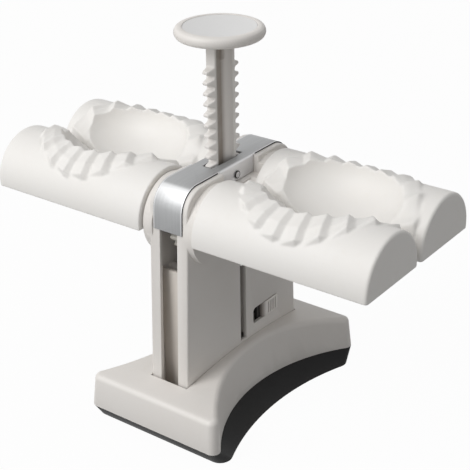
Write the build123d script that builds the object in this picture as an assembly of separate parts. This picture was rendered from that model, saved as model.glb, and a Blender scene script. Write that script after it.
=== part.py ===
from build123d import *
import math
import os

os.makedirs("parts", exist_ok=True)

# Double-arm ravioli press. The origin is on the floor under the middle of the base, X runs along
# the arms, Y across them and Z up. All lengths are millimetres.

# Arms and rolling moulds
arm_reach = 145.0
arm_gap = 0.3
mould_radius = 29.4
mould_gap = 4.0
axle_height = 142.9
flat_drop = 3.8
mould_end_round = 2.0
mould_root_round = 0.8
bowl_lap = 4.5
bowl_overreach = 9.1
bowl_lift = 2.5

# Pleated ring round each bowl, measured along the mould's rolled-out surface
pleats_per_half = 12
pleat_crest = 0.3
ring_end_margin = 4.2
ring_width = 18.0
ring_side_margin = 15.9
ring_side_width = 29.0
ring_root_depth = 4.0
ring_tool_height = 6.0
ring_rows = (0.0, 0.25, 0.6, 0.88, 1.0)
crest_heights = (2.0, 3.0, 3.3, 3.5, -0.1)
pleat_clearance = 0.3
seam_land = 1.6
seam_land_drop = 6.0

# Covers under the moulds
cover_thickness = 1.5
cover_inset = 3.0
cover_root_margin = 31.4
cover_end_margin = 4.0
cover_fit = 0.1
pocket_end_margin = 8.0
pocket_edge = 3.0
pocket_lift = 2.0
deep_pocket_length = 46.0
deep_pocket_width = 11.0
deep_pocket_edge = 3.4
deep_pocket_lift = 10.0
cover_screw_radius = 1.3
cover_screw_head_radius = 2.5
cover_screw_head = 0.9
cover_screw_length = 6.0
cover_screw_side = 7.0

# Gears and rack
pitch_radius = 18.9
pinion_teeth = 17
pressure_angle = 20.0
gear_addendum = 2.0
gear_dedendum = 2.5
backlash = 0.3
pinion_half_width = 3.5
pinion_hub_radius = 7.0
pinion_hub_half_width = 4.6
roll_angle = 171.5
rack_teeth_below = 2
rack_teeth_above = 13

# Axles and bushes
axle_radius = 3.0
axle_square = 4.2
axle_round_grip = 3.4
axle_grip = 39.4
socket_fit = 0.1
axle_running_fit = 0.06
bush_wall = 2.4
bush_flange_radius = 8.0
bush_flange = 0.7

# Column
column_half_thickness = 15.0
column_half_gap = 7.0
column_flare = 7.3
column_side = 24.2
column_rise = 28.5
column_shoulder_round = 15.5
column_wall = 2.5
column_edge_round = 1.2
boss_radius = 26.5
boss_height = 4.6
inner_boss_radius = 8.0
hub_end_fit = 0.4
guide_rib_near = 5.0
guide_rib_width = 4.0
guide_rib_drop = 24.9
guide_rib_bottom = 44.0
rod_side_fit = 0.3
slit_half_width = 3.25
slit_end_fit = 0.15
column_screw_radius = 1.5
column_screw_head_radius = 2.9
column_screw_head = 1.6
column_screw_boss = 3.6
column_screw_cover = 3.8
column_screw_inset = 0.2
column_screw_head_fit = 0.1
column_screw_side = 15.6
column_screw_drop = 34.9
low_screw_side = 10.6
low_screw_rise = 11.5

# Inner frame between the column halves
web_recess = 4.4
web_thickness = 2.5
web_drop = 30.9
frame_floor = 3.0
web_side_fit = 0.1
boss_hole_fit = 0.2

# Cover band over the top of the column
band_half_width = 11.25
band_thickness = 0.8
band_side_length = 28.2
flap_end_wall = 1.5
flap_length = 11.4
flap_notch_fit = 0.6
flap_bend = 1.5
band_screw_drop = 7.3
band_screw_radius = 1.4
band_screw_head_radius = 2.6
band_screw_head = 1.2
band_screw_end_fit = 0.5
slot_end_gap = 2.0

# Rod guide under the band
guide_side_fit = 0.1

# Rack rod and knob
rod_half_thickness = 4.1
rod_edge_fit = 0.3
rod_flange = 2.6
rod_channel_depth = 2.5
rod_tooth_half_width = 3.4
rod_channel_top_gap = 4.0
rod_reach = 45.9
slot_fit = 0.3
band_slot_fit = 0.5
spigot_radius = 3.1
spigot_length = 6.0
stop_pin_radius = 2.9
stop_pin_lift = 5.0
stop_pin_inset = 0.5
knob_radius = 28.3
knob_rise = 110.6
knob_height = 7.3
knob_floor = 3.0
knob_rim = 5.1
dish_depth = 1.8
knob_screw_radius = 1.8
knob_screw_head_radius = 4.0
knob_screw_head = 1.6
knob_screw_length = 16.0
knob_cap_fit = 0.3

# Return spring
spring_wire = 1.2
spring_fit = 0.6

# Lock slider in the right column half
lock_slot_front = 11.4
lock_slot_length = 28.0
lock_slot_height = 12.0
lock_slot_middle = 54.7
lock_slot_round = 2.6
lock_button_length = 17.0
lock_button_fit = 0.3
lock_travel = 10.0
lock_plate_thickness = 2.0
lock_plate_gap = 0.3
lock_plate_tail = 6.6
lock_plate_overlap = 2.4
lock_rib_count = 6
lock_rib_height = 1.1
lock_rib_half_width = 0.55
lock_rib_margin = 2.2
lock_rib_end = 1.2
tongue_half_width = 3.0
tongue_height = 5.0
tongue_clearance = 1.1
tongue_length = 4.0
tongue_arm = 3.0
notch_fit = 0.5
lock_screw_radius = 1.2
lock_screw_head = 1.0
lock_screw_grip = 2.0

# Base
foot_height = 10.0
foot_waist = 41.0
foot_end_half_width = 58.0
foot_half_length = 77.0
base_waist = 25.2
base_end_half_width = 58.2
base_half_length = 83.5
base_waist_lean = 4.1
base_side_lean = 1.8
base_end_lean = 2.3
base_crown_height = 40.7
base_crown_radius = 430.0
base_corner_round = 5.0
foot_corner_round = 8.0
base_edge_round = 4.0
base_boss_drop = 7.7
base_wall = 2.5
base_plate_thickness = 2.5
base_plate_fit = 0.7
column_opening_fit = 0.2
base_screw_radius = 1.6
base_screw_head_radius = 3.2
base_screw_head = 1.8
base_screw_grip = 9.0
base_boss_height = 11.0
column_foot_boss = 3.8
base_screw_access_radius = 4.5
base_boss_radius = 4.0
column_foot_screw_y = 35.0
base_screw_side = 20.8
base_screw_end = 11.4

# Sizes that follow from the driving ones
axis_offset = mould_radius + mould_gap / 2
flat_bottom = axle_height - flat_drop
boss_end = column_half_thickness + boss_height
arm_start = boss_end + bush_flange + arm_gap
bowl_centre_x = (arm_start + arm_reach) / 2
bowl_rim = axle_height + mould_radius
ring_outer_length = (arm_reach - arm_start) / 2 - ring_end_margin
ring_inner_length = ring_outer_length - ring_width
ring_outer_girth = math.pi * mould_radius - ring_side_margin
ring_inner_girth = ring_outer_girth - ring_side_width
bowl_half_length = ring_inner_length + bowl_lap
bowl_half_width = mould_radius + bowl_overreach
bowl_depth = mould_radius - bowl_lift
cover_start = arm_start + cover_root_margin
axle_round_end = arm_start + axle_round_grip
axle_end = arm_start + axle_grip
inner_boss_start = pinion_hub_half_width + hub_end_fit
circular_pitch = 2 * math.pi * pitch_radius / pinion_teeth
rack_pitch_line = axis_offset - pitch_radius
press_travel = pitch_radius * math.radians(roll_angle)
tooth_reach = rack_pitch_line + gear_addendum
plate_top = foot_height + base_plate_thickness
frame_top = plate_top + frame_floor
column_top = axle_height + column_rise
column_top_half_depth = axis_offset + column_side
column_bottom_half_depth = column_top_half_depth + column_flare
column_screw_tip = column_half_thickness - column_screw_cover
guide_rib_top = axle_height - guide_rib_drop
web_half_depth = column_top_half_depth - web_recess
web_top = axle_height - web_drop
rod_half_width = rack_pitch_line - gear_dedendum - rod_edge_fit
rod_channel_half_width = rod_half_width - rod_flange
rod_bottom = axle_height - rod_reach
knob_underside = axle_height + knob_rise
slot_half_length = tooth_reach + slot_end_gap
flap_half_length = slot_half_length + flap_end_wall
flap_bottom = column_top - flap_length
band_bottom = column_top - band_side_length
band_screw_height = column_top - band_screw_drop
band_screw_tip = rod_half_thickness + slot_fit + band_screw_end_fit
stop_pin_half_length = column_half_thickness - stop_pin_inset
dish_radius = knob_radius - knob_rim
spring_mean_radius = spigot_radius + spring_fit + spring_wire / 2
lock_plate_outside = column_half_thickness - column_wall - lock_plate_gap
button_rear = lock_slot_front + lock_slot_length - lock_button_fit
button_front = button_rear - lock_button_length
tongue_low = lock_slot_middle - tongue_height / 2
tongue_tip = tooth_reach + tongue_clearance
lock_plate_front = tongue_tip + tongue_length
lock_plate_rear = lock_slot_front + lock_slot_length + lock_plate_tail
base_boss_top = base_crown_height - base_boss_drop
base_top_waist = base_waist - base_waist_lean
base_top_end_half_width = base_end_half_width - base_side_lean
base_top_half_length = base_half_length - base_end_lean
column_foot_screw = ((column_half_gap + column_half_thickness) / 2, column_foot_screw_y)
base_shell_screw = (base_end_half_width - base_screw_side, base_half_length - base_screw_end)
stop_pin_height = rod_bottom + stop_pin_lift
slit_bottom = stop_pin_height - press_travel - stop_pin_radius - slit_end_fit
slit_top = stop_pin_height + stop_pin_radius + slit_end_fit
notch_wall = band_half_width - band_thickness
beyond = 400.0
past = 1.0


def block(x0, x1, y0, y1, z0, z1):
    """A box given by its lowest and highest corners."""
    size = Box(x1 - x0, y1 - y0, z1 - z0)
    return Pos((x0 + x1) / 2, (y0 + y1) / 2, (z0 + z1) / 2) * size


def post(radius, x, y, z0, z1):
    """An upright round bar."""
    return Pos(x, y, (z0 + z1) / 2) * Cylinder(radius, z1 - z0)


def bar(radius, x0, x1, y, z):
    """A round bar along X."""
    return Pos((x0 + x1) / 2, y, z) * Rot(0, 90, 0) * Cylinder(radius, abs(x1 - x0))


def save(solids, name):
    """Write one node, a single solid or a group of separate ones."""
    group = list(solids) if isinstance(solids, (list, tuple)) else [solids]
    pieces = [solid for shape in group for solid in shape.solids()]
    shape = pieces[0] if len(pieces) == 1 else Compound(children=pieces)
    shape.label = name
    export_step(shape, f"parts/{name}.step")


# Pleated ring
# A point is given by its place along the arm, its distance s round the mould from the nip line
# and its height h above the mould's round surface.


def on_mould(x, s, h):
    angle = s / mould_radius
    radius = mould_radius + h
    return Vector(x, -axis_offset + radius * math.cos(angle), axle_height + radius * math.sin(angle))


def ring_angles(crest):
    """Angles round the ring's half ellipse at which the pleats start, crest and end."""
    step = math.pi / pleats_per_half
    angles = [0.0]
    for k in range(pleats_per_half):
        angles += [(k + crest) * step, (k + 1) * step]
    return angles


def ring_slab(crest, heights_low, heights_high):
    """A many-faced slab over the front half ring, between two height maps."""
    angles = ring_angles(crest)
    columns = len(angles)
    rows = len(ring_rows)

    def grid(heights):
        table = []
        for j, angle in enumerate(angles):
            line = []
            for row, v in enumerate(ring_rows):
                length = ring_inner_length + (ring_outer_length - ring_inner_length) * v
                girth = ring_inner_girth + (ring_outer_girth - ring_inner_girth) * v
                x = bowl_centre_x + length * math.cos(angle)
                line.append(on_mould(x, girth * math.sin(angle), heights(j, row)))
            table.append(line)
        return table

    low = grid(heights_low)
    high = grid(heights_high)
    faces = []

    def panel(*points):
        faces.append(Face(Wire.make_polygon(points)))

    for j in range(columns - 1):
        for i in range(rows - 1):
            for table in (low, high):
                panel(table[j][i], table[j + 1][i], table[j + 1][i + 1])
                panel(table[j][i], table[j + 1][i + 1], table[j][i + 1])
        for i in (0, rows - 1):
            panel(low[j][i], low[j + 1][i], high[j + 1][i])
            panel(low[j][i], high[j + 1][i], high[j][i])
    for j in (0, columns - 1):
        for i in range(rows - 1):
            panel(low[j][i], low[j][i + 1], high[j][i + 1])
            panel(low[j][i], high[j][i + 1], high[j][i])
    return Solid(Shell(faces))


def pleat_heights(row_place):
    """Slanted pleats that stand on the mould. Those of the rear moulds fit between the front ones."""
    room = mould_gap - pleat_clearance

    def heights(j, row):
        if row == len(ring_rows) - 1:
            return crest_heights[row]
        crest = (j % 2 == 1) == (row_place == "front")
        return crest_heights[row] if crest else room - crest_heights[row]
    return heights


def right_mould(row_place, crest):
    """A mould of the right arm, drawn at the front: a D bar with its half bowl and half ring."""
    length = arm_reach - arm_start
    middle = (arm_reach + arm_start) / 2
    mould = bar(mould_radius, arm_start, arm_reach, -axis_offset, axle_height)
    mould -= Pos(middle, -axis_offset, flat_bottom - mould_radius) * Box(
        2 * length, 4 * mould_radius, 2 * mould_radius)
    outer_edges = mould.edges().filter_by(GeomType.CIRCLE).sort_by(Axis.X)
    mould = fillet(outer_edges[-1:], mould_end_round)
    mould = fillet(mould.edges().filter_by(GeomType.CIRCLE).sort_by(Axis.X)[:1], mould_root_round)

    # Land along the seam of the two half bowls, which closes the gap between the moulds there
    land = bar(mould_radius + seam_land, bowl_centre_x - ring_inner_length,
               bowl_centre_x + ring_inner_length, -axis_offset, axle_height)
    mould += land & block(arm_start, arm_reach, -axis_offset + mould_radius / 2, 0,
                          axle_height - seam_land_drop, axle_height + mould_radius)
    heights = pleat_heights(row_place)
    pleats = ring_slab(crest, lambda j, row: -ring_root_depth, heights)
    above = ring_slab(crest, heights, lambda j, row: ring_tool_height)
    mould = mould + pleats
    mould = mould - above
    bowl = scale(Sphere(1.0), by=(bowl_half_length, bowl_half_width, bowl_depth))
    mould -= Pos(bowl_centre_x, 0, bowl_rim) * bowl

    # Square socket for the axle
    half = axle_square / 2 + socket_fit
    mould -= block(arm_start - past, axle_end + socket_fit, -axis_offset - half, -axis_offset + half,
                   axle_height - half, axle_height + half)
    mould -= bar(axle_radius + socket_fit, arm_start - past, axle_round_end + socket_fit,
                 -axis_offset, axle_height)

    # Seat for the cover, and the pockets above it
    low_y, high_y = cover_span()
    seat_top = flat_bottom + cover_thickness
    mould -= block(cover_start - cover_fit, cover_end() + cover_fit, low_y - cover_fit,
                   high_y + cover_fit, flat_bottom - past, seat_top)
    mould -= block(cover_start + pocket_end_margin, cover_end() - pocket_end_margin,
                   low_y + pocket_edge, high_y - pocket_edge, seat_top - past, seat_top + pocket_lift)
    mould -= block(bowl_centre_x - deep_pocket_length / 2, bowl_centre_x + deep_pocket_length / 2,
                   low_y + deep_pocket_edge, low_y + deep_pocket_edge + deep_pocket_width,
                   seat_top, seat_top + deep_pocket_lift)
    for x, y in cover_screw_points():
        mould -= post(cover_screw_radius, x, y, flat_bottom, flat_bottom + cover_screw_length)
    return mould


def cover_span():
    half = math.sqrt(mould_radius ** 2 - flat_drop ** 2) - cover_inset
    return -axis_offset - half, -axis_offset + half


def cover_end():
    return arm_reach - cover_end_margin


def cover_screw_points():
    low_y, high_y = cover_span()
    points = []
    for x in (cover_start + pocket_end_margin / 2, cover_end() - pocket_end_margin / 2):
        for y in (low_y + cover_screw_side, high_y - cover_screw_side):
            points.append((x, y))
    return points


def right_cover():
    """The thin plate that closes the underside of the right front mould."""
    low_y, high_y = cover_span()
    cover = block(cover_start, cover_end(), low_y, high_y, flat_bottom,
                  flat_bottom + cover_thickness)
    for x, y in cover_screw_points():
        cover -= post(cover_screw_radius, x, y, flat_bottom, flat_bottom + cover_thickness)
        cover -= post(cover_screw_head_radius, x, y, flat_bottom, flat_bottom + cover_screw_head)
    return cover


def right_cover_screws():
    screws = []
    for x, y in cover_screw_points():
        screw = post(cover_screw_radius, x, y, flat_bottom, flat_bottom + cover_screw_length)
        screw += post(cover_screw_head_radius, x, y, flat_bottom, flat_bottom + cover_screw_head)
        screws.append(screw)
    return screws


def pinion():
    """A spur gear with its teeth gaps facing the rack, with a hub each side."""
    base_radius = pitch_radius * math.cos(math.radians(pressure_angle))
    tip_radius = pitch_radius + gear_addendum
    root_radius = pitch_radius - gear_dedendum

    def flank_turn(radius):
        """Angle by which an involute flank has come in at a radius."""
        if radius <= base_radius:
            return 0.0
        roll = math.acos(base_radius / radius)
        return math.tan(roll) - roll

    half_tooth = (circular_pitch - backlash) / 4 / pitch_radius
    half_at_base = half_tooth + flank_turn(pitch_radius)
    step = 2 * math.pi / pinion_teeth
    middle_radius = (base_radius + tip_radius) / 2

    def point(radius, angle):
        return (radius * math.cos(angle), radius * math.sin(angle))

    def side(radius):
        return half_at_base - flank_turn(radius)

    with BuildSketch(Plane.YZ) as outline:
        with BuildLine():
            for k in range(pinion_teeth):
                centre = (k + 0.5) * step
                Line(point(root_radius, centre - half_at_base), point(base_radius, centre - half_at_base))
                ThreePointArc(point(base_radius, centre - half_at_base),
                              point(middle_radius, centre - side(middle_radius)),
                              point(tip_radius, centre - side(tip_radius)))
                ThreePointArc(point(tip_radius, centre - side(tip_radius)),
                              point(tip_radius, centre),
                              point(tip_radius, centre + side(tip_radius)))
                ThreePointArc(point(tip_radius, centre + side(tip_radius)),
                              point(middle_radius, centre + side(middle_radius)),
                              point(base_radius, centre + half_at_base))
                Line(point(base_radius, centre + half_at_base), point(root_radius, centre + half_at_base))
                ThreePointArc(point(root_radius, centre + half_at_base),
                              point(root_radius, centre + step / 2),
                              point(root_radius, centre + step - half_at_base))
        make_face()
    gear = extrude(outline.sketch, amount=pinion_half_width, both=True)
    gear += bar(pinion_hub_radius, -pinion_hub_half_width, pinion_hub_half_width, 0, 0)
    gear -= bar(axle_radius, -beyond, beyond, 0, 0)
    return Pos(0, -axis_offset, axle_height) * gear


def roller_axle():
    """A steel bar, round in its bushes and square in the moulds."""
    axle = bar(axle_radius, -axle_round_end, axle_round_end, 0, 0)
    axle += Box(2 * axle_end, axle_square, axle_square)
    return Pos(0, -axis_offset, axle_height) * axle


def axle_bush():
    """A flanged bush in the boss of the right column half."""
    bush = bar(axle_radius + axle_running_fit + bush_wall, inner_boss_start, boss_end, 0, 0)
    bush += bar(bush_flange_radius, boss_end, boss_end + bush_flange, 0, 0)
    bush -= bar(axle_radius + axle_running_fit, 0, beyond, 0, 0)
    return Pos(0, -axis_offset, axle_height) * bush


# The pleats lean the same way in both arms, so that the left moulds aren't mirrored right ones
save(right_mould("front", pleat_crest), "front_right_mould")
save(mirror(right_mould("front", 1 - pleat_crest), about=Plane.YZ), "front_left_mould")
save(mirror(right_mould("rear", pleat_crest), about=Plane.XZ), "rear_right_mould")
left_rear_mould = mirror(right_mould("rear", 1 - pleat_crest), about=Plane.XZ)
save(mirror(left_rear_mould, about=Plane.YZ), "rear_left_mould")

# The rest of each roller is the same at the front and at the rear
for row in ("front", "rear"):
    def place(shape):
        return shape if row == "front" else mirror(shape, about=Plane.XZ)

    cover = place(right_cover())
    save(cover, f"{row}_right_cover")
    save(mirror(cover, about=Plane.YZ), f"{row}_left_cover")
    screws = [place(screw) for screw in right_cover_screws()]
    save(screws + [mirror(screw, about=Plane.YZ) for screw in screws], f"{row}_cover_screws")
    save(place(pinion()), f"{row}_pinion")
    save(place(roller_axle()), f"{row}_axle")
    bush = place(axle_bush())
    save([bush, mirror(bush, about=Plane.YZ)], f"{row}_axle_bushes")


# Column


def side_profile(grow, bottom):
    """The column seen from the arm's end: tapered sides under a flat top with round shoulders."""
    slope = (column_bottom_half_depth - column_top_half_depth) / (column_top - plate_top)
    top = column_top + grow
    low = column_bottom_half_depth + grow - slope * (bottom - plate_top)
    high = column_bottom_half_depth + grow - slope * (top - plate_top)
    with BuildSketch(Plane.YZ) as profile:
        with BuildLine():
            Polyline((-low, bottom), (low, bottom), (high, top), (-high, top), close=True)
        make_face()
        shoulders = profile.vertices().sort_by(Axis.Y)[-2:]
        fillet(shoulders, column_shoulder_round + grow)
    return profile.sketch


def between(shape_profile, x0, x1):
    return Pos(x0, 0, 0) * extrude(shape_profile, amount=x1 - x0, dir=(1, 0, 0))


def column_half():
    """The right half of the column: a hollow shell, open towards the middle."""
    half = between(side_profile(0.0, plate_top), column_half_gap, column_half_thickness)
    outer_face = half.faces().sort_by(Axis.X)[-1]
    upper_edges = [edge for edge in outer_face.edges() if edge.center().Z > plate_top + past]
    half = fillet(upper_edges, column_edge_round)
    half -= between(side_profile(-column_wall, plate_top + column_wall),
                    column_half_gap - past, column_half_thickness - column_wall)

    # Bearing bosses, outside and inside
    for y in (-axis_offset, axis_offset):
        half += bar(boss_radius, column_half_thickness - column_wall, boss_end, y, axle_height)
        half += bar(inner_boss_radius, inner_boss_start, column_half_thickness, y, axle_height)
        half -= bar(axle_radius + axle_running_fit + bush_wall, 0, beyond, y, axle_height)

    # Upright ribs that guide the rod between the halves
    rib_start = rod_half_thickness + rod_side_fit
    for side in (-1, 1):
        near = side * guide_rib_near
        far = side * (guide_rib_near + guide_rib_width)
        half += block(rib_start, column_half_thickness - column_wall, min(near, far), max(near, far),
                      guide_rib_bottom, guide_rib_top)

    # Slit for the stop pin
    half -= block(column_half_gap, beyond, -slit_half_width, slit_half_width, slit_bottom, slit_top)

    # Thick wall behind the band's flap, and the notch that the flap hangs in
    notch_half = flap_half_length + flap_notch_fit
    half += block(column_half_gap, column_half_thickness - column_wall, -notch_half - column_wall,
                  notch_half + column_wall, flap_bottom - column_wall, column_top - past)
    half -= block(notch_wall, beyond, -notch_half, notch_half, flap_bottom - flap_notch_fit, beyond)
    half -= bar(band_screw_radius, 0, beyond, 0, band_screw_height)

    # Screw bosses, across the column and under it
    for y, z in column_screw_points():
        half += bar(column_screw_boss, 0, column_half_thickness - column_wall / 2, y, z)
    for side in (-1, 1):
        x, y = column_foot_screw
        half += post(column_foot_boss, x, side * y, plate_top, plate_top + base_boss_height)
        half -= post(base_screw_radius, x, side * y, plate_top, plate_top + base_screw_grip)
    return half


def column_screw_points():
    upper = (column_top_half_depth - column_screw_side, axle_height - column_screw_drop)
    lower = (column_top_half_depth - low_screw_side, plate_top + low_screw_rise)
    return [(side * y, z) for side in (-1, 1) for y, z in (upper, lower)]


right_half = column_half()
left_half = mirror(right_half, about=Plane.YZ)
column_screws = []
screw_head_in = column_half_thickness - column_screw_head
for y, z in column_screw_points():
    left_half -= bar(column_screw_radius, -beyond, 0, y, z)
    left_half -= bar(column_screw_head_radius + column_screw_head_fit, -beyond, -screw_head_in, y, z)
    right_half -= bar(column_screw_radius, 0, column_screw_tip, y, z)
    screw = bar(column_screw_radius, -screw_head_in, column_screw_tip, y, z)
    screw += bar(column_screw_head_radius, column_screw_inset - column_half_thickness, -screw_head_in, y, z)
    column_screws.append(screw)

# Slot for the lock button in the right half
lock_slot_bottom = lock_slot_middle - lock_slot_height / 2
lock_slot_top = lock_slot_middle + lock_slot_height / 2
lock_slot = block(column_half_thickness - column_wall - past, column_half_thickness + past,
                  lock_slot_front, lock_slot_front + lock_slot_length, lock_slot_bottom, lock_slot_top)
lock_slot = fillet(lock_slot.edges().filter_by(Axis.X), lock_slot_round)
right_half -= lock_slot
save(left_half, "column_left_half")
save(right_half, "column_right_half")
save(column_screws, "column_screws")

# Inner frame: front and rear webs on a floor, with the post that the spring stands on
web_half_width = column_half_thickness - column_wall - web_side_fit
inner_frame = block(-web_half_width, web_half_width, -web_half_depth, web_half_depth, plate_top, frame_top)
for side in (-1, 1):
    outer = side * web_half_depth
    inner = side * (web_half_depth - web_thickness)
    inner_frame += block(-web_half_width, web_half_width, min(outer, inner), max(outer, inner),
                         plate_top, web_top)
inner_frame += post(spigot_radius, 0, 0, frame_top, frame_top + spigot_length)
for y, z in column_screw_points():
    inner_frame -= bar(column_screw_boss + boss_hole_fit, -beyond, beyond, y, z)
for side_x in (-1, 1):
    for side_y in (-1, 1):
        inner_frame -= post(base_boss_radius, side_x * column_foot_screw[0],
                            side_y * column_foot_screw[1], 0, frame_top)
for side_x in (-1, 1):
    wall_end = side_x * (column_half_gap - web_side_fit)
    inner_frame -= block(min(wall_end, side_x * beyond), max(wall_end, side_x * beyond),
                         -beyond, beyond, plate_top - past, plate_top + column_wall + web_side_fit)
save(inner_frame, "inner_frame")


# Rod guide, a block with a cross-shaped hole under the band


def rod_hole(fit, half_length, z0, z1):
    """The cross-shaped way that the rod and its teeth pass through."""
    wide = rod_half_thickness + fit
    narrow = rod_tooth_half_width + fit
    deep = rod_half_width + fit
    hole = block(-wide, wide, -deep, deep, z0, z1)
    return hole + block(-narrow, narrow, -half_length, half_length, z0, z1)


guide_half_width = column_half_gap - guide_side_fit
rod_guide = block(-guide_half_width, guide_half_width, -flap_half_length, flap_half_length,
                  flap_bottom, column_top)
rod_guide -= rod_hole(slot_fit, tooth_reach + slot_fit, flap_bottom, column_top)
rod_guide -= bar(band_screw_radius, -beyond, beyond, 0, band_screw_height)
save(rod_guide, "rod_guide")

# Cover band: a strip bent over the column, with a flap down each side
band = between(side_profile(band_thickness, band_bottom), -band_half_width, band_half_width)
band -= between(side_profile(0.0, plate_top), -beyond, beyond)
for side in (-1, 1):
    outer = side * band_half_width
    inner = side * notch_wall
    band += block(min(outer, inner), max(outer, inner), -flap_half_length, flap_half_length,
                  flap_bottom, column_top + band_thickness)
band_top = column_top + band_thickness
bend_middle = band_half_width - flap_bend
bend_round = Pos(bend_middle, 0, band_top - flap_bend) * Rot(90, 0, 0) * Cylinder(
    flap_bend, 2 * flap_half_length)
bend_cut = block(bend_middle, band_half_width + past, -flap_half_length, flap_half_length,
                 band_top - flap_bend, band_top + past) - bend_round
band = band - bend_cut - mirror(bend_cut, about=Plane.YZ)
band -= rod_hole(band_slot_fit, slot_half_length, column_top - past, band_top + past)
band -= bar(band_screw_radius, -beyond, beyond, 0, band_screw_height)
save(band, "cover_band")

band_screws = []
for side in (-1, 1):
    head = bar(band_screw_head_radius, side * band_half_width,
               side * (band_half_width + band_screw_head), 0, band_screw_height)
    shank = bar(band_screw_radius, side * band_screw_tip, side * band_half_width, 0, band_screw_height)
    band_screws.append(head + shank)
save(band_screws, "band_screws")

# Rack rod: a bar of H section with a row of teeth on each edge
rod_top = knob_underside + knob_floor
rod = block(-rod_half_thickness, rod_half_thickness, -rod_half_width, rod_half_width,
            rod_bottom, rod_top)
for side in (-1, 1):
    floor_x = side * (rod_half_thickness - rod_channel_depth)
    edge_x = side * (rod_half_thickness + past)
    rod -= block(min(floor_x, edge_x), max(floor_x, edge_x), -rod_channel_half_width,
                 rod_channel_half_width, slit_top, knob_underside - rod_channel_top_gap)

tooth_slope = math.tan(math.radians(pressure_angle))
half_at_pitch = (circular_pitch - backlash) / 4
half_at_tip = half_at_pitch - gear_addendum * tooth_slope
root_reach = rack_pitch_line - gear_dedendum - past
half_at_root = half_at_pitch + (rack_pitch_line - root_reach) * tooth_slope
for k in range(-rack_teeth_below, rack_teeth_above + 1):
    z = axle_height + k * circular_pitch
    for side in (-1, 1):
        tooth = Plane.YZ * Polygon((side * root_reach, z - half_at_root),
                                   (side * tooth_reach, z - half_at_tip),
                                   (side * tooth_reach, z + half_at_tip),
                                   (side * root_reach, z + half_at_root), align=None)
        rod += extrude(tooth, amount=rod_tooth_half_width, both=True)
rod += post(spigot_radius, 0, 0, rod_bottom - spigot_length, rod_bottom)
notch_depth_y = tongue_tip - lock_travel - notch_fit
rod -= block(-beyond, beyond, notch_depth_y, beyond,
             tongue_low + press_travel - notch_fit,
             tongue_low + tongue_height + press_travel + notch_fit)
rod -= bar(stop_pin_radius, -beyond, beyond, 0, stop_pin_height)
rod -= post(knob_screw_radius, 0, 0, rod_top - knob_screw_length, rod_top)
save(rod, "rack_rod")
save(bar(stop_pin_radius, -stop_pin_half_length, stop_pin_half_length, 0, stop_pin_height), "stop_pin")

# Knob: a round disc with a rolled rim, and the dished cap that hides its screw
knob_top = knob_underside + knob_height
rim_radius = knob_height / 2
with BuildSketch(Plane.XZ) as knob_section:
    with BuildLine():
        Line((0, knob_underside), (knob_radius - rim_radius, knob_underside))
        ThreePointArc((knob_radius - rim_radius, knob_underside),
                      (knob_radius, knob_underside + rim_radius),
                      (knob_radius - rim_radius, knob_top))
        Line((knob_radius - rim_radius, knob_top), (dish_radius, knob_top))
        Line((dish_radius, knob_top), (dish_radius, rod_top))
        Line((dish_radius, rod_top), (0, rod_top))
        Line((0, rod_top), (0, knob_underside))
    make_face()
knob = revolve(knob_section.sketch, axis=Axis.Z)
knob -= block(-rod_half_thickness, rod_half_thickness, -rod_half_width, rod_half_width,
              knob_underside - past, rod_top + past)
save(knob, "press_knob")

dish_rim = knob_top - knob_cap_fit
dish_curve = (dish_radius ** 2 + dish_depth ** 2) / (2 * dish_depth)
cap = post(dish_radius, 0, 0, rod_top, dish_rim)
cap -= Pos(0, 0, dish_rim - dish_depth + dish_curve) * Sphere(dish_curve)
cap -= post(knob_screw_head_radius + knob_cap_fit, 0, 0, rod_top - past, rod_top + knob_screw_head)
save(cap, "knob_cap")

knob_screw = post(knob_screw_radius, 0, 0, rod_top - knob_screw_length, rod_top)
knob_screw += post(knob_screw_head_radius, 0, 0, rod_top, rod_top + knob_screw_head)
save(knob_screw, "knob_screw")

# Return spring, held between the frame's post and the rod's spigot
spring = post(spring_mean_radius + spring_wire / 2, 0, 0, frame_top, rod_bottom)
spring -= post(spring_mean_radius - spring_wire / 2, 0, 0, frame_top, rod_bottom)
save(spring, "return_spring")

# Lock slider: a ribbed button outside and a plate with a tongue inside
button_bottom = lock_slot_bottom + lock_button_fit
button_top = lock_slot_top - lock_button_fit
button = block(lock_plate_outside, column_half_thickness, button_front, button_rear,
               button_bottom, button_top)
button = fillet(button.edges().filter_by(Axis.X), lock_slot_round - lock_button_fit)
rib_span = lock_button_length - 2 * lock_rib_margin
for k in range(lock_rib_count):
    y = button_front + lock_rib_margin + rib_span * k / (lock_rib_count - 1)
    button += block(column_half_thickness - past, column_half_thickness + lock_rib_height,
                    y - lock_rib_half_width, y + lock_rib_half_width,
                    button_bottom + lock_rib_end, button_top - lock_rib_end)
lock_screw_y = (button_front + button_rear) / 2
lock_screw_in = lock_plate_outside - lock_plate_thickness
button -= bar(lock_screw_radius, 0, lock_plate_outside + lock_screw_grip, lock_screw_y, lock_slot_middle)
save(button, "lock_button")

lock_plate = block(lock_screw_in, lock_plate_outside, lock_plate_front, lock_plate_rear,
                   lock_slot_bottom - lock_plate_overlap, lock_slot_top + lock_plate_overlap)
arm_rear = lock_plate_front + tongue_arm
lock_plate += block(-tongue_half_width, lock_plate_outside, lock_plate_front, arm_rear,
                    tongue_low, tongue_low + tongue_height)
lock_plate += block(-tongue_half_width, tongue_half_width, tongue_tip, arm_rear,
                    tongue_low, tongue_low + tongue_height)
lock_plate -= bar(lock_screw_radius, 0, beyond, lock_screw_y, lock_slot_middle)
save(lock_plate, "lock_plate")

lock_screw = bar(lock_screw_radius, lock_screw_in, lock_plate_outside + lock_screw_grip,
                 lock_screw_y, lock_slot_middle)
lock_screw += bar(2 * lock_screw_radius, lock_screw_in - lock_screw_head, lock_screw_in,
                  lock_screw_y, lock_slot_middle)
save(lock_screw, "lock_screw")


# Base


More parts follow.
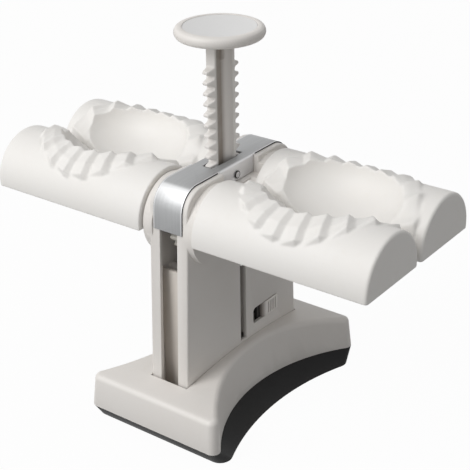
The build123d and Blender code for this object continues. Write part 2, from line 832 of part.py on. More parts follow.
def waisted_outline(waist, end_half_width, half_length, corner):
    """A plan shape with straight ends and sides that curve in to a waist."""
    with BuildSketch() as plan:
        with BuildLine():
            Line((-end_half_width, -half_length), (end_half_width, -half_length))
            ThreePointArc((end_half_width, -half_length), (waist, 0), (end_half_width, half_length))
            Line((end_half_width, half_length), (-end_half_width, half_length))
            ThreePointArc((-end_half_width, half_length), (-waist, 0), (-end_half_width, -half_length))
        make_face()
        fillet(plan.vertices(), corner)
    return plan.sketch


def tapered(lower, upper, z0, z1):
    """A body between two plan shapes at two heights."""
    return loft([Pos(0, 0, z0) * lower, Pos(0, 0, z1) * upper], ruled=True)


def screw_places(point):
    return [(sx * point[0], sy * point[1]) for sx in (-1, 1) for sy in (-1, 1)]


def base_block(inset, top_drop):
    """The base's outer form, or a smaller one inside it."""
    lower = waisted_outline(base_waist - inset, base_end_half_width - inset,
                            base_half_length - inset, base_corner_round)
    upper = waisted_outline(base_top_waist - inset, base_top_end_half_width - inset,
                            base_top_half_length - inset, base_corner_round)
    body = tapered(lower, upper, foot_height, base_crown_height + past)
    crown = Pos(0, 0, base_crown_height - top_drop - base_crown_radius) * Rot(0, 90, 0) * Cylinder(
        base_crown_radius, 3 * base_end_half_width)
    return body & crown


base_shell = base_block(0.0, 0.0)
top_face = base_shell.faces().sort_by(Axis.Z)[-1]
base_shell = fillet(top_face.edges(), base_edge_round)
base_shell -= base_block(base_wall, base_wall)
for x, y in screw_places(base_shell_screw):
    base_shell += post(base_boss_radius, x, y, plate_top, base_boss_top)
opening_x = column_half_thickness + column_opening_fit
opening_y = column_bottom_half_depth + column_opening_fit
base_shell -= block(-opening_x, opening_x, -opening_y, opening_y, plate_top, beyond)
for x, y in screw_places(base_shell_screw):
    base_shell -= post(base_screw_radius, x, y, plate_top, plate_top + base_screw_grip)
save(base_shell, "base_shell")

plate_inset = base_wall + base_plate_fit
base_plate = extrude(waisted_outline(base_waist - plate_inset, base_end_half_width - plate_inset,
                                     base_half_length - plate_inset, base_corner_round),
                     amount=base_plate_thickness)
base_plate = Pos(0, 0, foot_height) * base_plate
foot = tapered(waisted_outline(foot_waist, foot_end_half_width, foot_half_length, foot_corner_round),
               waisted_outline(base_waist, base_end_half_width, base_half_length, base_corner_round),
               0.0, foot_height)
base_screws = []
for x, y in screw_places(column_foot_screw) + screw_places(base_shell_screw):
    base_plate -= post(base_screw_radius, x, y, 0, plate_top)
    foot -= post(base_screw_access_radius, x, y, -past, foot_height + past)
    screw = post(base_screw_radius, x, y, foot_height, plate_top + base_screw_grip)
    screw += post(base_screw_head_radius, x, y, foot_height - base_screw_head, foot_height)
    base_screws.append(screw)
save(base_plate, "base_plate")
save(foot, "base_foot")
save(base_screws, "base_screws")

print("press travel", round(press_travel, 3), "pitch radius", pitch_radius)
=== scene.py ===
import math

import bmesh
import bpy
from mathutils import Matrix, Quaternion, Vector


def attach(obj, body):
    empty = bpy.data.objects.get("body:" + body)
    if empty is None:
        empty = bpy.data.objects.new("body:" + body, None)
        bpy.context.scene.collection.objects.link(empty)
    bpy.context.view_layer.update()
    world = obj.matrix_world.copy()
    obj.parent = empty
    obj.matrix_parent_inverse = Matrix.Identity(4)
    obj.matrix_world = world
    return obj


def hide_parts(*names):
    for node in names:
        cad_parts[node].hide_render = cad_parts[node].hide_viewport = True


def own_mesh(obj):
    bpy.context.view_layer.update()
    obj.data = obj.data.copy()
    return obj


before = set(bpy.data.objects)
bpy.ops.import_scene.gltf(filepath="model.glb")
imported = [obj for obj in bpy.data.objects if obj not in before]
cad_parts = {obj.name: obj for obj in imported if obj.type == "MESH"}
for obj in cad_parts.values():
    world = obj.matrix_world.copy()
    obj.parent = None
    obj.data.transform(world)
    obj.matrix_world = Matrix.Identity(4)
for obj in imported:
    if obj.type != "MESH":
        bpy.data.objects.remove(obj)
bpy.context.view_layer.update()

# View and light.
# The press stands on a plain white table. Two large soft lamps hang in front of it on the left,
# one high and one low, so that the arms' ends and the column's side lie in a soft half shade.

aim = Vector((0.00271, 0.00838, 0.11484))
azimuth, elevation, roll = math.radians(36.84), math.radians(26.6), math.radians(-0.98)
view_distance = 0.83136
back = Vector((math.sin(azimuth) * math.cos(elevation), -math.cos(azimuth) * math.cos(elevation),
               math.sin(elevation)))
bpy.ops.object.camera_add(location=aim + view_distance * back)
camera = bpy.context.object
camera.rotation_mode = "QUATERNION"
camera.rotation_quaternion = Quaternion(back, roll) @ (-back).to_track_quat("-Z", "Y")
camera.data.sensor_width = 36
camera.data.lens = 95.63
bpy.context.scene.camera = camera
bpy.context.scene.view_settings.view_transform = "Standard"

lamp_aim = Vector((0, 0, 0.12))
lamp_size = 0.9


def soft_lamp(name, place, power):
    """A square lamp that is turned to the middle of the press."""
    bpy.ops.object.light_add(type="AREA", location=place)
    lamp = bpy.context.object
    lamp.name = name
    lamp.data.size = lamp_size
    lamp.data.energy = power
    lamp.rotation_mode = "QUATERNION"
    lamp.rotation_quaternion = (lamp_aim - Vector(place)).to_track_quat("-Z", "Y")


soft_lamp("key_lamp", (-0.50, -1.15, 1.42), power=14)
soft_lamp("front_lamp", (-0.55, -1.38, 0.72), power=6)


class Tone:
    """A value or colour in a finish, which adds its own nodes when it is used in sums."""

    def __init__(self, tree, socket=None):
        self.tree, self.socket = tree, socket

    def node(self, kind, settings=(), inputs=(), output=0):
        """Adds any node, with its settings first, and gives one of its outputs."""
        made = self.tree.nodes.new(kind)
        for name, value in dict(settings).items():
            if name == "stops":
                ramp = made.color_ramp.elements
                while len(ramp) < len(value):
                    ramp.new(0.5)
                for stop, (place, grey) in zip(ramp, value):
                    stop.position, stop.color = place, (grey, grey, grey, 1)
            else:
                setattr(made, name, value)
        for name, value in dict(inputs).items():
            if isinstance(value, Tone):
                self.tree.links.new(value.socket, made.inputs[name])
            else:
                made.inputs[name].default_value = value
        return Tone(self.tree, made.outputs[output])

    def maths(self, operation, first, second):
        return self.node("ShaderNodeMath", {"operation": operation}, {0: first, 1: second})

    def __add__(self, other):
        return self.maths("ADD", self, other)

    def __sub__(self, other):
        return self.maths("SUBTRACT", self, other)

    def __rsub__(self, other):
        return self.maths("SUBTRACT", other, self)

    def __mul__(self, other):
        return self.maths("MULTIPLY", self, other)

    def __truediv__(self, other):
        return self.maths("DIVIDE", self, other)

    def __abs__(self):
        return self.maths("ABSOLUTE", self, 0.0)

    __radd__, __rmul__ = __add__, __mul__

    def axis(self, letter):
        """One coordinate of a place: X, Y or Z."""
        return self.node("ShaderNodeSeparateXYZ", inputs={0: self}, output=letter)

    def noise(self, scale, detail=2.0):
        """Noise at this place, with about scale blotches to the metre."""
        return self.node("ShaderNodeTexNoise",
                         inputs={"Vector": self, "Scale": scale, "Detail": detail})

    def streaks(self, scale, detail):
        """Noise at this place that is drawn out along the axes whose scale is low."""
        stretched = self.node("ShaderNodeMapping", inputs={"Vector": self, "Scale": scale})
        return stretched.noise(1.0, detail)

    def ramp(self, *stops):
        """Greys at given places from 0 to 1."""
        return self.node("ShaderNodeValToRGB", {"stops": stops}, {0: self})

    def mix(self, first, second):
        """Goes from the first colour to the second as this value goes from 0 to 1."""
        first, second = (end if isinstance(end, Tone) else (*end, 1) for end in (first, second))
        return self.node("ShaderNodeMix", {"data_type": "RGBA"},
                         {"Factor": self, 6: first, 7: second}, output=2)

    def bump(self, strength, depth):
        """Uses this value as the height of a surface."""
        return self.node("ShaderNodeBump",
                         inputs={"Height": self, "Strength": strength, "Distance": depth})

    def feed(self, inlet):
        """Links this value or colour to an inlet of a shader."""
        self.tree.links.new(self.socket, inlet)


def new_finish(name):
    """An empty material with its shader and its Object coordinates."""
    material = bpy.data.materials.new(name)
    material.use_nodes = True
    place = Tone(material.node_tree).node("ShaderNodeTexCoord", output="Object")
    return material, material.node_tree.nodes["Principled BSDF"], place


def seen_white(start):
    """1 for what the camera sees directly, in metal or through glass, and 0 for the light."""
    rays = [start.node("ShaderNodeLightPath", output=ray)
            for ray in ("Is Camera Ray", "Is Glossy Ray", "Is Transmission Ray")]
    return start.maths("MAXIMUM", start.maths("MAXIMUM", rays[0], rays[1]), rays[2])


room_light = 0.41
world = bpy.data.worlds.new("pale_room")
bpy.context.scene.world = world
world.use_nodes = True
surroundings = world.node_tree.nodes["Background"]
surroundings.inputs["Color"].default_value = (1, 1, 1, 1)
brightness = room_light + seen_white(Tone(world.node_tree)) * (1 - room_light)
brightness.feed(surroundings.inputs["Strength"])

table_colour, table_glow, table_whiteness = (0.26, 0.26, 0.26, 1), 1.05, 0.92
bpy.ops.mesh.primitive_plane_add(size=8, location=(0, 0, 0))
table = bpy.context.object
table.name = "white_table"
table_top, shader, place = new_finish("white_table_top")
shader.inputs["Base Color"].default_value = table_colour
shader.inputs["Roughness"].default_value = 0.9
glow = place.node("ShaderNodeEmission", inputs={"Color": (1, 1, 1, 1), "Strength": table_glow})
plain = Tone(table_top.node_tree, shader.outputs[0])
whitened = place.node("ShaderNodeMixShader",
                      inputs={0: seen_white(place) * table_whiteness, 1: plain, 2: glow})
whitened.feed(table_top.node_tree.nodes["Material Output"].inputs[0])
table.data.materials.append(table_top)

# Foot.
# A waisted block of black rubbery plastic under the base, which keeps the press from sliding.
# It is moulded in one piece, with a fine matt grain and a little flour dust along its lower rim.


def alone(piece):
    """Leaves this piece alone selected, and active."""
    bpy.ops.object.select_all(action="DESELECT")
    piece.select_set(True)
    bpy.context.view_layer.objects.active = piece


def pick(piece):
    """Opens this piece in edit mode, with all of it selected."""
    alone(piece)
    bpy.ops.object.mode_set(mode="EDIT")
    bpy.ops.mesh.select_all(action="SELECT")


def settle(piece, body, material, slot, *solids):
    """Puts a piece's place into its mesh, gives it its finish and lets it ride."""
    alone(piece)
    bpy.ops.object.transform_apply(location=True, rotation=True, scale=True)
    piece.data.materials.clear()
    piece.data.materials.append(material)
    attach(piece, body)
    if solids:
        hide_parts(*solids)


def merged_copy(solid):
    """A solid's own shape as one closed mesh, ready to be worked on."""
    piece = bpy.data.objects.new(solid + "_eased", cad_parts[solid].data.copy())
    bpy.context.collection.objects.link(piece)
    pick(piece)
    bpy.ops.mesh.customdata_custom_splitnormals_clear()
    bpy.ops.mesh.remove_doubles(threshold=0.000002)
    bpy.ops.mesh.dissolve_limited(angle_limit=math.radians(0.4))
    bpy.ops.object.mode_set(mode="OBJECT")
    return piece


def round_edges(piece, width, segments, sharpness):
    """Rounds the edges of the active piece that turn by more than some degrees."""
    edges = piece.modifiers.new("edges", "BEVEL")
    edges.width, edges.segments = width, segments
    edges.limit_method, edges.angle_limit = "ANGLE", math.radians(sharpness)
    bpy.ops.object.modifier_apply(modifier="edges")


def eased(solid, body, material, slot, width):
    """A solid with its sharp edges rounded a little, as the tool leaves them."""
    piece = merged_copy(solid)
    round_edges(piece, width, segments=2, sharpness=28)
    bpy.ops.object.shade_smooth_by_angle(angle=math.radians(35))
    settle(piece, body, material, slot, solid)


rubber_black, rubber_worn = (0.009, 0.009, 0.010), (0.045, 0.044, 0.042)
foot_edge = 0.0008
foot_black, shader, place = new_finish("foot_black")
grain = place.noise(2600.0)
cloud = place.noise(34.0, 4.0)
dust = (place.axis("Z") * 160.0).ramp((0.0, 0.5), (0.9, 0.0)) * cloud
shader.inputs["Specular IOR Level"].default_value = 0.18
(cloud * 0.4 + dust * 0.6).mix(rubber_black, rubber_worn).feed(shader.inputs["Base Color"])
(grain * 0.15 + cloud * 0.12 + 0.4).feed(shader.inputs["Roughness"])
grain.bump(0.3, 0.0002).feed(shader.inputs["Normal"])
eased("base_foot", "stand", foot_black, "foot_rubber", foot_edge)

# Base shell.
# A hollow white moulding with a crowned top, straight ends and sides that curve in to a waist. It
# is screwed down through the foot, and its flat plate inside carries the column.


def moulded_plastic(name, colour, roughness, grain=0.1):
    """Moulded plastic, nearly even, with faint flow marks, a fine grain and patches worn by
    rubbing.
    """
    material, shader, place = new_finish(name)
    flow = place.noise(24.0, 3.0)
    fine = place.noise(1700.0)
    rubbed_and_highlight = place.noise(240.0, 5.0).ramp((0.55, 0.0), (0.8, 1.0))
    marks = place.streaks((60, 60, 900), 2.0)
    warm = [channel * shade for channel, shade in zip(colour, (0.972, 0.958, 0.935))]
    (flow * 0.7 + rubbed_and_highlight * 0.3).mix(colour, warm).feed(shader.inputs["Base Color"])
    sheen = flow * 0.1 + fine * 0.06 + rubbed_and_highlight * 0.09 + (roughness - 0.1)
    sheen.feed(shader.inputs["Roughness"])
    (fine + marks * 0.3).bump(grain, 0.0001).feed(shader.inputs["Normal"])
    return material


def dress(material, *solids):
    """Gives solids that keep their own mesh a finish."""
    for solid in solids:
        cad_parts[solid].data.materials.clear()
        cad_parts[solid].data.materials.append(material)


warm_white = (0.80, 0.773, 0.744)
shell_edge = 0.0004
body_white = moulded_plastic("body_white", warm_white, roughness=0.5)
inner_plastic = moulded_plastic("inner_plastic", (0.68, 0.635, 0.585), roughness=0.6)
eased("base_shell", "stand", body_white, "body_white", shell_edge)
dress(inner_plastic, "base_plate")

# Screws of the base and the column.
# Pan head screws of bright steel with a cross recess. Eight go up through the foot, and four go
# from the left through both halves of the column.


def choose_faces(piece, test):
    """Selects, in edit mode, only the faces that pass a test."""
    mesh = bmesh.from_edit_mesh(piece.data)
    for face in mesh.faces:
        face.select_set(False)
    for face in mesh.faces:
        if test(face):
            face.select_set(True)
    bmesh.update_edit_mesh(piece.data)


def carve(piece, tool, operation):
    """Joins the two shapes, keeps what they share or cuts the second from the first."""
    boolean = piece.modifiers.new("carve", "BOOLEAN")
    boolean.operation, boolean.object = operation, tool
    alone(piece)
    bpy.ops.object.modifier_apply(modifier="carve")
    bpy.data.objects.remove(tool)


def cross_screws(name, radius, head, shank, length, places, turn):
    """Screws modelled once, head up, and copied to their places, joined as one piece."""
    bpy.ops.object.select_all(action="DESELECT")
    bpy.ops.mesh.primitive_cylinder_add(vertices=40, radius=radius, depth=head,
                                        location=(0, 0, -head / 2))
    screw = bpy.context.object
    screw.name = name
    pick(screw)
    choose_faces(screw, lambda face: face.normal.z < -0.9)
    bpy.ops.mesh.inset(thickness=radius - shank)
    bpy.ops.mesh.extrude_region_move(TRANSFORM_OT_translate={"value": (0, 0, -length)})
    choose_faces(screw, lambda face: face.normal.z > 0.9)
    bpy.ops.mesh.region_to_loop()
    bpy.ops.mesh.bevel(offset=min(head, radius) * 0.45, segments=4, affect="EDGES")
    bpy.ops.object.mode_set(mode="OBJECT")
    for angle in (0, math.pi / 2):
        bpy.ops.object.select_all(action="DESELECT")
        bpy.ops.mesh.primitive_cube_add(size=1, location=(0, 0, 0), rotation=(0, 0, angle),
                                        scale=(radius * 1.1, radius * 0.26, head * 1.1))
        carve(screw, bpy.context.object, "DIFFERENCE")
    copies = []
    for place in places:
        copy = screw.copy()
        copy.data = screw.data.copy()
        bpy.context.collection.objects.link(copy)
        copy.location, copy.rotation_euler = place, turn
        copies.append(copy)
    bpy.data.objects.remove(screw)
    bpy.ops.object.select_all(action="DESELECT")
    for copy in copies:
        copy.select_set(True)
    bpy.context.view_layer.objects.active = copies[0]
    bpy.ops.object.transform_apply(location=True, rotation=True, scale=True)
    bpy.ops.object.join()
    piece = bpy.context.object
    piece.name = name
    bpy.ops.object.shade_smooth_by_angle(angle=math.radians(35))
    return piece


steel_bright = (0.50, 0.50, 0.49)
steel_dark = [channel * 0.86 for channel in steel_bright]
steel, shader, place = new_finish("steel")
streaks = place.streaks((900, 900, 120), 3.0)
smudge = place.noise(60.0, 3.0)
shader.inputs["Metallic"].default_value = 1
(streaks * 0.6 + smudge * 0.4).mix(steel_dark, steel_bright).feed(shader.inputs["Base Color"])
(streaks * 0.14 + smudge * 0.08 + 0.21).feed(shader.inputs["Roughness"])
streaks.bump(0.15, 0.0002).feed(shader.inputs["Normal"])

head_down, head_left = (math.pi, 0, 0), (0, -math.pi / 2, 0)
base_screw_places = [(sx * x, sy * y, 0.0082) for x, y in ((0.011, 0.035), (0.0374, 0.0721))
                     for sx in (-1, 1) for sy in (-1, 1)]
base_screws = cross_screws("base_cross_screws", radius=0.0032, head=0.0018, shank=0.0016,
                           length=0.0115, places=base_screw_places, turn=head_down)
settle(base_screws, "stand", steel, "steel", "base_screws")
column_screw_places = [(-0.0148, side * y, z) for y, z in ((0.040, 0.108), (0.045, 0.024))
                       for side in (-1, 1)]
column_screws = cross_screws("column_cross_screws", radius=0.0029, head=0.0014, shank=0.0015,
                             length=0.0246, places=column_screw_places, turn=head_left)
settle(column_screws, "stand", steel, "steel", "column_screws")

# Column.
# Two hollow white halves, joined left to right, with a darker frame between them that shows as
# the recessed web at the front and the rear. The bosses at its top carry the rollers' axles.

column_edge, frame_edge = 0.0005, 0.0002
eased("column_left_half", "stand", body_white, "body_white", column_edge)
eased("column_right_half", "stand", body_white, "body_white", column_edge)
eased("inner_frame", "stand", inner_plastic, "inner_plastic", frame_edge)
# The rod guide and the lock plate are near black as painted shade inside the column's slit and
# the lock's slot.
slot_shade_black = moulded_plastic("slot_shade_black", (0.035, 0.032, 0.03), roughness=0.6)
dress(slot_shade_black, "rod_guide")

# Cover band.
# A strip of brushed steel, 0.8 mm thick, bent over the column's shoulders. Its colour carries
# painted
# light: a painted highlight down the front bend, lighter flaps and a painted shadow line along
# its side edges. One flat screw, ringed with painted shade, holds the flap that is folded down
# each side.

sheet_shade_tone, sheet_highlight_tone = (0.28, 0.285, 0.29), (0.93, 0.935, 0.94)
flap_painted_light, gap_shadow_dark = (0.80, 0.80, 0.81), (0.02, 0.02, 0.021)
band_bottom, band_edge = 0.1432, 0.0002
band_steel, shader, place = new_finish("brushed_band")
streaks = place.streaks((1400, 40, 40), 3.0)
smudge = place.noise(60.0, 3.0)
outward = abs(place.axis("X")) * 80.0
# The flaps are given a lighter colour than the top of the band: painted light on the flaps.
folded = outward.ramp((0.80, 0.0), (0.885, 1.0))
past_flap = (abs(place.axis("Y")) * 20.0).ramp((0.39, 0.0), (0.40, 1.0))
# A thin dark line down the band's side edges, away from the flaps, is painted shadow of the gap
# at the column.
painted_gap_shadow = past_flap * outward.ramp((0.885, 0.0), (0.893, 1.0))
# Colour that changes with height is a painted highlight: darkest at the lower end, brightest down
# the front bend and dark again on top.
rubbed_and_highlight = ((place.axis("Z") - band_bottom) * 33.0).ramp(
    (0.0, 0.0), (0.25, 0.02), (0.45, 0.06), (0.62, 0.10),
    (0.75, 0.34), (0.85, 0.72), (0.90, 0.6), (0.928, 0.08))
sheet = (rubbed_and_highlight + streaks * 0.12 + smudge * 0.06).mix(sheet_shade_tone, sheet_highlight_tone)
with_flap = (folded * 0.85 + streaks * 0.1).mix(sheet, flap_painted_light)
shader.inputs["Metallic"].default_value = 0.65
painted_gap_shadow.mix(with_flap, gap_shadow_dark).feed(shader.inputs["Base Color"])
(streaks * 0.12 + smudge * 0.08 + 0.42).feed(shader.inputs["Roughness"])
streaks.bump(0.4, 0.0002).feed(shader.inputs["Normal"])
eased("cover_band", "stand", band_steel, "brushed_band", band_edge)

flap_screw_out, flap_screw_height = 0.01185, 0.1641
flap_screws = []
for side, name in ((-1, "left"), (1, "right")):
    flap_screws.append(cross_screws(
        f"band_screw_{name}", radius=0.0026, head=0.0006, shank=0.0014, length=0.0063,
        places=[(side * flap_screw_out, 0, flap_screw_height)], turn=(0, side * math.pi / 2, 0)))
flap_steel, shader, place = new_finish("flap_screw")
across = place.node("ShaderNodeVectorMath", {"operation": "MULTIPLY_ADD"},
                    {0: place, 1: (0, 1, 1), 2: (0, 0, -flap_screw_height)})
from_middle = across.node("ShaderNodeVectorMath", {"operation": "LENGTH"}, {0: across}, output=1)
# The dark ring round the head is painted shade of the gap round the screw.
ring = (from_middle * 1000.0 - 1.0).ramp((0.85, 0.0), (0.98, 1.0))
turned = place.noise(900.0, 2.0)
shader.inputs["Metallic"].default_value = 0.6
screw_steel, ring_shade_dark = (0.78, 0.78, 0.79), (0.03, 0.028, 0.026)
(ring + turned * 0.1).mix(screw_steel, ring_shade_dark).feed(shader.inputs["Base Color"])
(turned * 0.12 + 0.4).feed(shader.inputs["Roughness"])
for piece in flap_screws:
    settle(piece, "stand", flap_steel, "steel", "band_screws")

# Rollers.
# Four hollow white mouldings on two steel axles. Each has half a smooth bowl, a half ring of
# slanted pleats, softer at the right of the rear ones, and a flat cover screwed under it.


def skinned(piece, skin_size, rounds):
    """Turns a piece into one even skin and softens its edges."""
    alone(piece)
    skin = piece.modifiers.new("skin", "REMESH")
    skin.mode, skin.voxel_size = "VOXEL", skin_size
    bpy.ops.object.modifier_apply(modifier="skin")
    soft = piece.modifiers.new("soft", "SMOOTH")
    soft.factor, soft.iterations = 0.5, rounds
    bpy.ops.object.modifier_apply(modifier="soft")
    bpy.ops.object.shade_smooth()


def fade_right(mould, bowl_middle):
    """Smooths the pleats of a rear mould from 12 mm right of its bowl's middle to its end."""
    fade_start, fade_length, fade_end, end_length = 12, 16, 57, 6
    pleats_start, pleats_rise = 0.150, 0.006
    faded = mould.vertex_groups.new(name="faded")
    for vertex in mould.data.vertices:
        beyond = (vertex.co.x - bowl_middle) * 1000
        share = min(1, (beyond - fade_start) / fade_length, (fade_end - beyond) / end_length)
        if share > 0 and vertex.co.z > pleats_start:
            share *= min(1, (vertex.co.z - pleats_start) / pleats_rise)
            faded.add([vertex.index], share, "REPLACE")
    soft = mould.modifiers.new("soft", "SMOOTH")
    soft.factor, soft.iterations, soft.vertex_group = 0.5, 45, "faded"
    bpy.ops.object.modifier_apply(modifier="soft")


mould_skin, bowl_distance = 0.00068, 0.0828
mould_white = moulded_plastic("mould_white", (0.85, 0.835, 0.812), roughness=0.52, grain=0.05)
gear_plastic = moulded_plastic("gear_plastic", (0.62, 0.60, 0.55), roughness=0.45)
for row, toward in (("front", -1), ("rear", 1)):
    body = row + "_roller"
    for side, arm in ((-1, "left"), (1, "right")):
        mould = merged_copy(f"{row}_{arm}_mould")
        skinned(mould, mould_skin, rounds=3)
        if row == "rear":
            fade_right(mould, side * bowl_distance)
        settle(mould, body, mould_white, "mould_white", f"{row}_{arm}_mould")
    dress(body_white, f"{row}_left_cover", f"{row}_right_cover")
    dress(gear_plastic, f"{row}_pinion", f"{row}_axle_bushes")
    dress(steel, f"{row}_axle")
    cover_screw_places = [(side * x, toward * y, 0.1391) for x in (0.056, 0.137)
                          for y in (0.05055, 0.01225) for side in (-1, 1)]
    screws = cross_screws(f"{row}_cover_cross_screws", radius=0.0025, head=0.0009, shank=0.0013,
                          length=0.0051, places=cover_screw_places, turn=head_down)
    settle(screws, body, steel, "steel", f"{row}_cover_screws")

# Rack rod and its pin.
# A white moulded bar with rounded teeth on its front and rear edges and a concave channel down
# each side, whose floor is darkened towards one side by painted shade. A steel pin near its foot
# runs in the column's slits and stops its travel.

rod_middle, rod_skin = 0.1845, 0.00048
rod = merged_copy("rack_rod")
for side in (-1, 1):
    bpy.ops.object.select_all(action="DESELECT")
    bpy.ops.mesh.primitive_cube_add(size=1, location=(side * 0.00235, 0, rod_middle),
                                    scale=(0.0035, 0.0148, 0.137))
    carve(rod, bpy.context.object, "UNION")
skinned(rod, rod_skin, rounds=0)

tooth_slant, rounded_size = -math.radians(6.5), (0.0049, 0.0158, 0.3)
bpy.ops.object.select_all(action="DESELECT")
bpy.ops.mesh.primitive_cylinder_add(vertices=72, radius=1, depth=1, location=(0, 0, rod_middle),
                                    rotation=(0, 0, tooth_slant), scale=rounded_size)
carve(rod, bpy.context.object, "INTERSECT")
channel_size = (0.0034, 0.0079, 0.138)
for side in (-1, 1):
    bpy.ops.object.select_all(action="DESELECT")
    bpy.ops.mesh.primitive_cylinder_add(vertices=72, radius=1, depth=1, scale=channel_size,
                                        location=(side * 0.0044, -side * 0.0007, rod_middle))
    carve(rod, bpy.context.object, "DIFFERENCE")
bpy.ops.object.select_all(action="DESELECT")
bpy.ops.mesh.primitive_cylinder_add(vertices=40, radius=0.0026, depth=0.0145,
                                    location=(0, 0, 0.24635))
carve(rod, bpy.context.object, "UNION")
skinned(rod, rod_skin, rounds=8)

# Painted shade: the channels' floors turn grey-brown towards one side, with faint random blotches
# over the whole rod.
channel_shade_grey = (0.27, 0.23, 0.195)
rod_white, shader, place = new_finish("rod_white")
across, along = place.axis("X"), place.axis("Y")
in_channel = (abs(along) * 100.0).ramp((0.82, 1.0), (0.90, 0.0))
in_channel = in_channel * (abs(across) * 100.0).ramp((0.26, 1.0), (0.40, 0.0))
channel_shade = (along / across * 0.1 + 0.5).ramp((0.0, 1.0), (0.38, 1.0), (0.46, 0.7), (0.56, 0.5),
                                         (0.70, 0.1), (0.76, 0.0))
cloud = place.noise(90.0, 4.0)
fine = place.noise(1700.0)
shade_and_blotches = in_channel * channel_shade * (cloud * 0.25 + 0.8) + cloud * 0.06
shade_and_blotches.mix(warm_white, channel_shade_grey).feed(shader.inputs["Base Color"])
(cloud * 0.14 + fine * 0.06 + 0.38).feed(shader.inputs["Roughness"])
fine.bump(0.1, 0.0001).feed(shader.inputs["Normal"])
settle(rod, "press", rod_white, "body_white", "rack_rod")
dress(steel, "stop_pin", "knob_screw")

# Knob and its cap.
# A round white disc with a rolled rim, pressed on the rod and held by a screw. A dished cap of
# cooler white sits in its well and hides the screw.

knob_radius, knob_height, knob_middle = 0.0283, 0.0073, 0.25715
rim_roll, rim_width, well_lip, well_depth = 0.0034, 0.0014, 0.0003, 0.004
bpy.ops.object.select_all(action="DESELECT")
bpy.ops.mesh.primitive_cylinder_add(vertices=96, radius=knob_radius, depth=knob_height,
                                    location=(0, 0, knob_middle))
knob = bpy.context.object
knob.name = "rolled_knob"
pick(knob)
bpy.ops.mesh.bevel(offset=rim_roll, segments=8, profile=0.5, affect="EDGES", clamp_overlap=False)
choose_faces(knob, lambda face: face.normal.z > 0.99 and face.calc_area() > 0.001)
bpy.ops.mesh.inset(thickness=rim_width)
bpy.ops.mesh.inset(thickness=well_lip, depth=-well_lip / 2)
bpy.ops.mesh.extrude_region_move(TRANSFORM_OT_translate={"value": (0, 0, -well_depth)})
bpy.ops.object.mode_set(mode="OBJECT")
bpy.ops.object.shade_smooth_by_angle(angle=math.radians(40))
settle(knob, "press", body_white, "body_white", "press_knob")

dish_radius, dish_height, dish_middle, dish_depth = 0.0230, 0.0039, 0.25855, 0.0018
dish_rings, last_ring = 8, 0.85
cap_grey = moulded_plastic("cap_grey", (0.78, 0.78, 0.78), roughness=0.42)
bpy.ops.object.select_all(action="DESELECT")
bpy.ops.mesh.primitive_cylinder_add(vertices=96, radius=dish_radius, depth=dish_height,
                                    location=(0, 0, dish_middle))
cap = bpy.context.object
cap.name = "dished_cap"
pick(cap)
choose_faces(cap, lambda face: face.normal.z > 0.9)
for ring in range(dish_rings):
    step = last_ring if ring == dish_rings - 1 else 1
    outer, inner = 1 - ring / dish_rings, 1 - (ring + step) / dish_rings
    bpy.ops.mesh.inset(thickness=dish_radius * (outer - inner),
                       depth=-dish_depth * (outer ** 2 - inner ** 2))
bpy.ops.object.mode_set(mode="OBJECT")
bpy.ops.object.shade_smooth_by_angle(angle=math.radians(40))
settle(cap, "press", cap_grey, "cap_grey", "knob_cap")

# Return spring.
# A coil of round steel wire between the frame's post and the foot of the rod. It pushes the rod
# up again and is pressed to less than a third of its length.

wire_radius, coil_radius, first_turn = 0.0006, 0.0043, 0.0161
spring_turns, spring_rise, steps_per_turn = 14, 0.0803, 24
bpy.ops.object.select_all(action="DESELECT")
bpy.ops.mesh.primitive_circle_add(vertices=10, radius=wire_radius, fill_type="NOTHING",
                                  location=(coil_radius, 0, first_turn),
                                  rotation=(math.pi / 2, 0, 0))
spring = bpy.context.object
spring.name = "coil_spring"
bpy.ops.object.transform_apply(location=True, rotation=True, scale=True)
coils = spring.modifiers.new("coils", "SCREW")
coils.steps = coils.render_steps = steps_per_turn
coils.iterations, coils.screw_offset = spring_turns, spring_rise / spring_turns
bpy.ops.object.modifier_apply(modifier="coils")
pick(spring)
bpy.ops.mesh.select_all(action="DESELECT")
bpy.ops.mesh.select_non_manifold()
bpy.ops.mesh.edge_face_add()
bpy.ops.mesh.select_all(action="SELECT")
bpy.ops.mesh.normals_make_consistent(inside=False)
bpy.ops.object.mode_set(mode="OBJECT")
bpy.ops.object.shade_smooth()
settle(spring, "stand", steel, "steel", "return_spring")
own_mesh(spring)

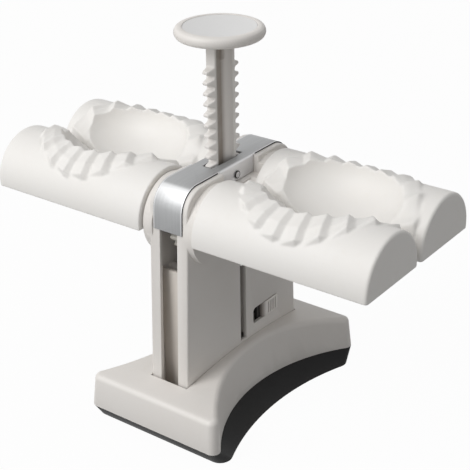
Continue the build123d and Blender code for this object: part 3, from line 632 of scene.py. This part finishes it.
# Lock.
# A ribbed white button with a thumb ramp, which slides in a slot of the right column half. A
# screw holds the plate behind it, whose tongue locks the rod when it is pressed down.

rib_bottom = 0.0149
# Painted shade: the button turns dark below its rib tops, in the grooves, down the thumb ramp and
# on its sides.
button_pale, button_groove_shade = (0.95, 0.915, 0.875), (0.14, 0.105, 0.085)
button_white, shader, place = new_finish("button_white")
groove_shade = ((place.axis("X") - rib_bottom) * 1000.0).ramp((0.0, 1.0), (0.75, 0.0))
flow = place.noise(180.0, 3.0)
(groove_shade * 0.75 + flow * 0.05).mix(button_pale, button_groove_shade).feed(shader.inputs["Base Color"])
(flow * 0.15 + 0.38).feed(shader.inputs["Roughness"])

button_height = 0.0547
ramp_back, ramp_front, ramp_foot = 0.0268, 0.0222, 0.0147
bpy.ops.object.select_all(action="DESELECT")
bpy.ops.mesh.primitive_cube_add(size=1, location=(0.0141, 0.0306, button_height),
                                scale=(0.0038, 0.017, 0.0114))
button = bpy.context.object
button.name = "ribbed_button"
bpy.ops.object.transform_apply(location=True, rotation=True, scale=True)
pick(button)
bpy.ops.mesh.bisect(plane_co=(0, ramp_back, 0), plane_no=(0, 1, 0))
mesh = bmesh.from_edit_mesh(button.data)
for corner in mesh.verts:
    if corner.co.y < ramp_front and corner.co.x > 0.0159:
        corner.co.x = ramp_foot
bmesh.update_edit_mesh(button.data)
bpy.ops.object.mode_set(mode="OBJECT")
round_edges(button, 0.0007, segments=3, sharpness=20)

first_groove, groove_pitch, groove_count = 0.0281, 0.0021, 5
for groove in range(groove_count):
    bpy.ops.object.select_all(action="DESELECT")
    bpy.ops.mesh.primitive_cube_add(
        size=1, location=(0.0161, first_groove + groove_pitch * groove, button_height),
        scale=(0.0022, 0.0010, 0.0090))
    carve(button, bpy.context.object, "DIFFERENCE")
bpy.ops.object.shade_smooth_by_angle(angle=math.radians(35))
settle(button, "lock_slider", button_white, "body_white", "lock_button")
# The lock plate is near black as painted shade in the slot behind the button.
dress(slot_shade_black, "lock_plate")
dress(steel, "lock_screw")
